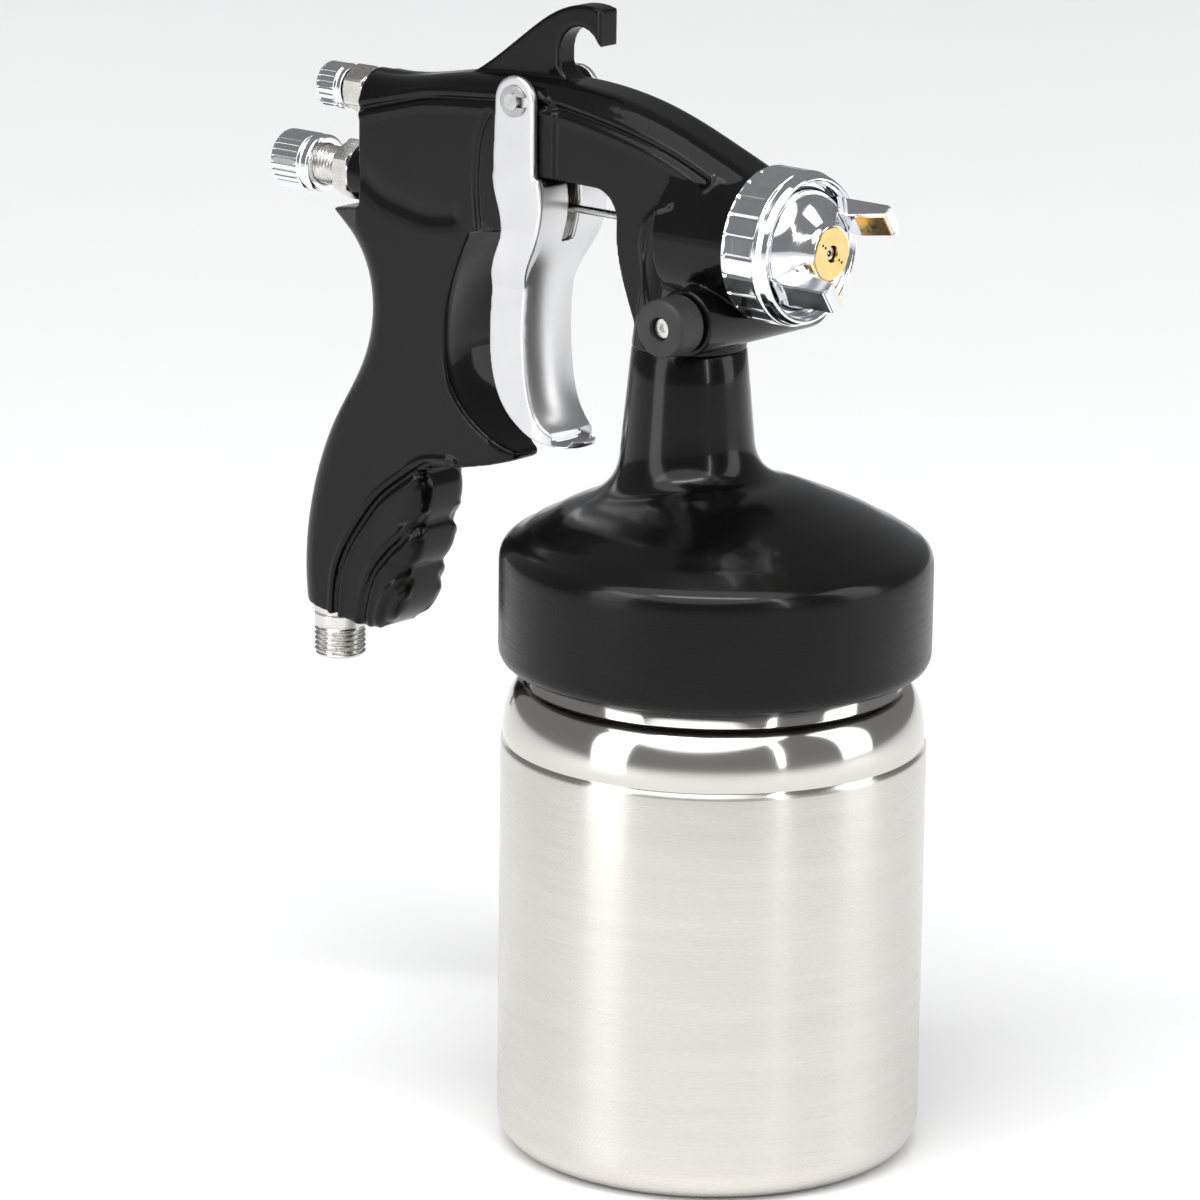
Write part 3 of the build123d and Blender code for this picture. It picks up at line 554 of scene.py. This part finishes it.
def cover_height(reach):
    """Height of the domed cover at a distance from the cup's axis, in mm."""
    stations = [0, 10, 20, 28, 38, 46, 50.0]
    heights = [168.6, 168.0, 166.4, 163.4, 159.2, 155.0, 152.5]
    for low, high in zip(range(len(stations) - 1), range(1, len(stations))):
        if reach <= stations[high]:
            before = heights[low - 1] if low else heights[1]
            after = heights[min(high + 1, len(stations) - 1)]
            t = (reach - stations[low]) / (stations[high] - stations[low])
            slope_low = (heights[high] - before) / 2 if low else 0
            slope_high = (after - heights[low]) / 2
            return ((2 * t ** 3 - 3 * t ** 2 + 1) * heights[low] + (t ** 3 - 2 * t ** 2 + t) * slope_low +
                    (3 * t ** 2 - 2 * t ** 3) * heights[high] + (t ** 3 - t ** 2) * slope_high)
    return heights[-1]


def cup_cover_shell():
    """Neck, dome and skirt as one grid whose columns fan out from the neck."""
    columns = 288
    rim = 50.0
    bore, socket, foot = 6.2, 9.9, 17.2
    neck = Vector((NECK_X, 0))
    skirt = [(50.9, 151.8), (51.7, 151.0), (52.3, 149.9), (52.65, 148.4), (52.75, 146.5), (52.75, 140),
             (52.75, 126.4), (52.6, 124.8), (51.9, 123.3), (50.8, 122.35), (49.4, 121.9), (47.2, 121.8),
             (46.6, 122.2), (46.5, 148), (39, 148), (36, 154), (26, 158)]
    shape = bmesh.new()
    fans = []
    for column in range(columns):
        turn = 2 * math.pi * column / columns
        way = Vector((math.cos(turn), math.sin(turn)))
        across = NECK_X * way.x
        reach = -across + math.sqrt(across ** 2 + rim ** 2 - NECK_X ** 2)
        stations = [(socket, 187), (socket, NECK_TOP), (13.6, NECK_TOP), (14, 198.5)]
        stations += [(14 + (NECK_TOP - height) * 0.094, height) for height in (192, 186, 181)]
        fan = [Vector((NECK_X + wide * way.x, wide * way.y, height)) for wide, height in stations]
        # Rounded run from the neck out over the dome
        base = cover_height((neck + foot * way).length)
        start = Vector((14 + (NECK_TOP - base - 8) * 0.094, base + 8))
        corner = Vector((foot - 0.2, base - 0.3))
        outer = foot + min(8.0, 0.5 * (reach - foot))
        end = Vector((outer, cover_height((neck + outer * way).length)))
        for share in np.linspace(0, 1, 14).tolist():
            spot = start.lerp(corner, share).lerp(corner.lerp(end, share), share)
            fan.append(Vector((NECK_X + spot.x * way.x, spot.x * way.y, spot.y)))
        for share in np.linspace(0, 1, 16).tolist()[1:]:
            out = outer + (reach - outer) * share
            flat = neck + out * way
            fan.append(Vector((flat.x, flat.y, cover_height(flat.length))))
        away = (neck + reach * way).normalized()
        for wide, height in skirt:
            fan.append(Vector((away.x * wide, away.y * wide, height)))
        fan.append(Vector((NECK_X + bore * way.x, bore * way.y, 158)))
        fan.append(Vector((NECK_X + bore * way.x, bore * way.y, 187)))
        fans.append([shape.verts.new(spot * MM) for spot in fan])
    for column in range(columns):
        here, beside = fans[column], fans[(column + 1) % columns]
        for row in range(len(here)):
            after = (row + 1) % len(here)
            shape.faces.new((here[row], beside[row], beside[after], here[after]))
    add_piece("cup_cover_shell", shape, "gun", "black_cover", ["cup_cover"], sharp=50)


# ---------------------------------------------------------------- head

def retaining_ring_shell():
    """Knurled ring with a rolled front lip."""
    outline = [(14.2, 17.1), (14.2, 18.1), (14.9, 18.8), (24.3, 18.8), (24.7, 18.2), (26.4, 18.1),
               (27.5, 17.5), (27.6, 16.9), (26.8, 16.5), (26.2, 15.9), (24.0, 15.9), (24.0, 17.1)]
    outline = refine(soften(outline, 0.25), 0.5, 14.9, 24.4)
    shape = turned(outline, NEEDLE_POINT, "X", 384, knurl(24, 0.5, 1.5, 14.9, 24.3, 18.2))
    add_piece("retaining_ring_shell", shape, "retaining_ring", "chrome_parts", ["retaining_ring"])


def prism(outline, half_width, out, across):
    """Solid bar with an (x, reach) outline in the plane of the nozzle line and a direction."""
    shape = bmesh.new()
    faces = []
    for side in (-half_width, half_width):
        faces.append([shape.verts.new(NEEDLE_POINT + (Vector((x, 0, 0)) + out * reach + across * side) * MM)
                      for x, reach in outline])
    shape.faces.new(faces[0])
    shape.faces.new(list(reversed(faces[1])))
    count = len(outline)
    for index in range(count):
        after = (index + 1) % count
        shape.faces.new((faces[0][index], faces[0][after], faces[1][after], faces[1][index]))
    bmesh.ops.recalc_face_normals(shape, faces=shape.faces)
    return shape


def air_cap_shell():
    """Domed cap with two horns; each horn has a brass face, with a small black disc painted as the shade
    inside its air jet hole.
    """
    dome = [(23.8, 15.1), (24.6, 15.0), (25.8, 14.6), (27.2, 13.7), (28.6, 12.5), (29.8, 11.0),
            (31.0, 9.3), (32.0, 8.1), (32.7, 7.3), (33.2, 7.0), (33.4, 6.7), (33.2, 6.25)]
    outline = [(21.3, 13.5), (21.3, 16.6), (23.6, 16.6), (23.8, 16.4)] + dome
    outline += [(31, 6.25), (29.6, 5.7), (28, 10.4), (25, 12.8)]
    add_piece("air_cap_shell", turned(outline, NEEDLE_POINT, "X", 256), "air_cap", "chrome_parts",
              ["air_cap"], sharp=40)
    side = [(25.5, 12.4), (29.8, 10.2), (33.5, 9.8), (43.0, 11.8), (43.2, 14.2), (42.2, 15.2), (25.0, 15.2)]
    pad = [(35.0, 10.15), (42.6, 11.75), (42.55, 12.1), (34.9, 10.5)]
    for label, turn in (("left", HORN_ANGLE), ("right", HORN_ANGLE + 180)):
        out = Vector((0, math.cos(math.radians(turn)), math.sin(math.radians(turn))))
        across = Vector((1, 0, 0)).cross(out)
        horn = prism(side, 3.5, out, across)
        bmesh.ops.bevel(horn, geom=horn.edges[:], offset=0.35 * MM, segments=2, affect="EDGES",
                        clamp_overlap=True)
        add_piece("air_cap_horn_" + label, horn, "air_cap", "chrome_parts", sharp=40)
        face = prism([(x, r - 0.42) for x, r in pad], 2.9, out, across)
        add_piece("horn_face_" + label, face, "air_cap", "brass_parts", sharp=40)
        # The air jet hole is drawn as a small black disc: painted shade standing in for the dark inside of
        # the hole, not a real part.
        shade_disc_place = NEEDLE_POINT + (Vector((1, 0, 0)) * 39.2 + out * 10.55) * MM
        jet = bmesh.new()
        inward = (Vector((0.206, 0, 0)) - out * 0.978).normalized()
        first = inward.cross(across).normalized()
        ring = []
        for step in range(24):
            spin = 2 * math.pi * step / 24
            ring.append(jet.verts.new(shade_disc_place + 0.55 * MM * (math.cos(spin) * first +
                                                               math.sin(spin) * across) + inward * 0.12 * MM))
        jet.faces.new(ring)
        extruded = bmesh.ops.extrude_face_region(jet, geom=jet.faces[:])
        bmesh.ops.translate(jet, vec=-inward * 0.2 * MM,
                            verts=[item for item in extruded["geom"] if isinstance(item, bmesh.types.BMVert)])
        add_piece("horn_jet_painted_shade_" + label, jet, "air_cap", "seal_rubber", sharp=40)


# ---------------------------------------------------------------- rear controls and inlet

def rear_controls():
    """Both control knobs and the fittings behind them."""
    outline = [(-141.3, 0), (-141.3, 5.6), (-140.4, 7.5), (-131.6, 7.5), (-131.2, 6.9), (-130.6, 6.9),
               (-130.3, 7.4), (-128.5, 7.4), (-128.0, 6.9), (-128.0, 5.15), (-138, 5.15), (-138, 0)]
    outline = refine(soften(outline, 0.3), 0.5, -140.6, -131.5)
    shape = turned(outline, NEEDLE_POINT, "X", 336, knurl(28, 0.34, 1.3, -140.4, -131.7, 6.95))
    add_piece("fluid_knob_shell", shape, "fluid_knob", "chrome_parts", ["fluid_control_knob"])
    outline = [(-127.1, 0), (-127.1, 5.0), (-126.4, 5.8), (-120.6, 5.85), (-120.2, 5.4), (-118.6, 5.4),
               (-118.6, 2.2), (-124, 2.2), (-124, 0)]
    outline = refine(soften(outline, 0.25), 0.5, -126.5, -120.5)
    shape = turned(outline, FAN_POINT, "X", 288, knurl(24, 0.28, 1.6, -126.3, -120.7, 5.6))
    add_piece("fan_knob_shell", shape, "fan_valve", "chrome_parts", ["fan_control_knob"])
    outline = [(-133.5, 4.05), (-133.5, 5.0), (-120.5, 5.0), (-120.5, 6.6), (-120.0, 7.6), (-115.7, 7.6),
               (-115.1, 6.6), (-115.1, 5.4), (-92, 5.4), (-92, 4.05)]
    outline = refine(soften(outline, 0.15), 0.14, -133.4, -120.6)
    cut = both(thread(1.0, 0.42, -133.3, -120.7, 4.5), hexagon(13.4, -120.5, -115.1))
    add_piece("fluid_housing_shell", turned(outline, NEEDLE_POINT, "X", 192, cut), "gun", "nickel_fitting",
              ["fluid_control_housing"])
    outline = [(-117.8, 3.05), (-117.8, 5.4), (-117.3, 6.2), (-111.6, 6.2), (-111.0, 5.4), (-111, 3.95),
               (-96, 3.95), (-96, 3.05)]
    shape = turned(soften(outline, 0.15), FAN_POINT, "X", 192, hexagon(11.0, -117.8, -111.0))
    add_piece("fan_body_shell", shape, "gun", "nickel_fitting", ["fan_valve_body"])


def air_inlet_shell():
    """Threaded hose stub with a plain collar."""
    inlet_low, inlet_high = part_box("air_inlet_fitting")
    centre = Vector(((inlet_low[0] + inlet_high[0]) / 2, 0, 0))
    outline = [(101.0, 3.5), (101.0, 5.7), (101.8, 6.55), (112.2, 6.55), (112.2, 5.9), (113.0, 5.9),
               (113.0, 7.0), (115.0, 7.0), (115.0, 4.95), (127, 4.95), (127, 3.5)]
    outline = refine(soften(outline, 0.2), 0.17, 101.2, 109.6)
    shape = turned(outline, centre, "Z", 144, thread(1.34, 0.75, 101.2, 109.4, 5.8))
    finish = turned_metal("satin_nickel_inlet", (0.66, 0.65, 0.63), (0.72, 0.71, 0.69), 0.20, 0.26, "Z",
                          tuple(centre), strength=0.05)
    add_piece("air_inlet_shell", shape, "gun", "nickel_fitting", ["air_inlet_fitting"], finish=finish)


TRIGGER_VOXEL = 0.27
WAIST_Z, WAIST_WIDTH, WAIST_DEPTH = 0.2235, 0.0075, 3.0 * MM
WEB_TOP, WEB_BLEND, WEB_HALF, WEB_ROUND = 0.222, 0.014, 0.0092, 2.2 * MM


def trigger_pressing():
    """The arms narrow from behind, and the web below them has a rounded front."""
    shape = skin("trigger", TRIGGER_VOXEL, 16)
    for vert in shape.verts:
        waist = math.exp(-((vert.co.z - WAIST_Z) / WAIST_WIDTH) ** 2)
        vert.co.x += WAIST_DEPTH * waist * min(1.0, max(0.0, (-0.0545 - vert.co.x) / 0.007))
        low = min(1.0, max(0.0, (WEB_TOP - vert.co.z) / WEB_BLEND))
        vert.co.x -= WEB_ROUND * low * low * (3 - 2 * low) * min(1.0, (vert.co.y / WEB_HALF) ** 2)
    add_piece("trigger_shell", shape, "trigger", "polished_trigger", ["trigger"], sharp=80)


gun_body_shell()
cup_shell()
cup_cover_shell()
retaining_ring_shell()
air_cap_shell()
rear_controls()
air_inlet_shell()
trigger_pressing()


# ---------------------------------------------------------------- studio

VIEW_TURN = math.radians(40.0)
FORWARD = Vector((math.sin(VIEW_TURN), -math.cos(VIEW_TURN), 0))
RIGHT = Vector((math.cos(VIEW_TURN), math.sin(VIEW_TURN), 0))


def studio_floor():
    mesh = bpy.data.meshes.new("studio_floor")
    shape = bmesh.new()
    bmesh.ops.create_grid(shape, x_segments=8, y_segments=8, size=8.0)
    shape.to_mesh(mesh)
    shape.free()
    floor = bpy.data.objects.new("studio_floor", mesh)
    bpy.context.scene.collection.objects.link(floor)
    paint = Paint("pale_floor")
    paint.colours(paint.noise(2.0, detail=2.0), (0.89, 0.89, 0.89), (0.91, 0.91, 0.91))
    paint.feed("Roughness", paint.spread(paint.noise(30), 0.8, 0.9))
    mesh.materials.append(paint.material)


def softbox(name, turn, height, distance, wide, tall, watts):
    """Area light that faces the gun, turned from the camera's side towards its right, in degrees."""
    aim = Vector((-0.03, 0, 0.13))
    turn, height = math.radians(turn), math.radians(height)
    level = math.cos(turn) * FORWARD + math.sin(turn) * RIGHT
    way = math.cos(height) * level + math.sin(height) * Vector((0, 0, 1))
    data = bpy.data.lights.new(name, "AREA")
    data.shape = "RECTANGLE"
    data.size = wide
    data.size_y = tall
    data.energy = watts
    light = bpy.data.objects.new(name, data)
    bpy.context.scene.collection.objects.link(light)
    light.location = aim + way * distance
    light.rotation_euler = way.to_track_quat("Z", "Y").to_euler()


def studio_lights():
    softbox("left_softbox", turn=-57, height=20, distance=1.4, wide=0.55, tall=1.6, watts=8)
    softbox("strip_softbox", turn=36, height=26, distance=1.6, wide=0.09, tall=1.3, watts=3.4)
    softbox("right_softbox", turn=82, height=24, distance=1.5, wide=0.6, tall=1.4, watts=6)
    softbox("high_softbox", turn=-8, height=62, distance=2.4, wide=1.6, tall=0.25, watts=15)
    sun = bpy.data.lights.new("broad_top_light", "SUN")
    sun.energy = 2.2
    sun.angle = math.radians(75)
    light = bpy.data.objects.new("broad_top_light", sun)
    bpy.context.scene.collection.objects.link(light)
    way = 0.5 * FORWARD - 0.15 * RIGHT + Vector((0, 0, 1))
    light.rotation_euler = way.to_track_quat("Z", "Y").to_euler()
    world = bpy.data.worlds.new("studio_world")
    world.use_nodes = True
    background = world.node_tree.nodes["Background"]
    background.inputs["Color"].default_value = (0.96, 0.97, 1.0, 1)
    background.inputs["Strength"].default_value = 0.24
    bpy.context.scene.world = world
    bpy.context.scene.view_settings.view_transform = "Standard"


def studio_camera():
    """Camera at the viewing angle: azimuth from -Y, elevation and a slight roll, in degrees."""
    azimuth, elevation, roll = (math.radians(angle) for angle in (40.0, 14.783, 0.712))
    distance = 1.601
    target = Vector((-0.03665, 0.0, 0.1306))
    back = Vector((math.sin(azimuth) * math.cos(elevation), -math.cos(azimuth) * math.cos(elevation),
                   math.sin(elevation)))
    right = Vector((math.cos(azimuth), math.sin(azimuth), 0))
    up = back.cross(right)
    level = math.cos(roll) * right + math.sin(roll) * up
    upright = -math.sin(roll) * right + math.cos(roll) * up
    data = bpy.data.cameras.new("studio_camera")
    data.lens = 194.9
    data.sensor_width = 36
    data.clip_end = 50
    camera = bpy.data.objects.new("studio_camera", data)
    bpy.context.scene.collection.objects.link(camera)
    turn = Matrix((level, upright, back)).transposed().to_4x4()
    camera.matrix_world = Matrix.Translation(target + back * distance) @ turn
    bpy.context.scene.camera = camera


studio_floor()
studio_lights()
studio_camera()
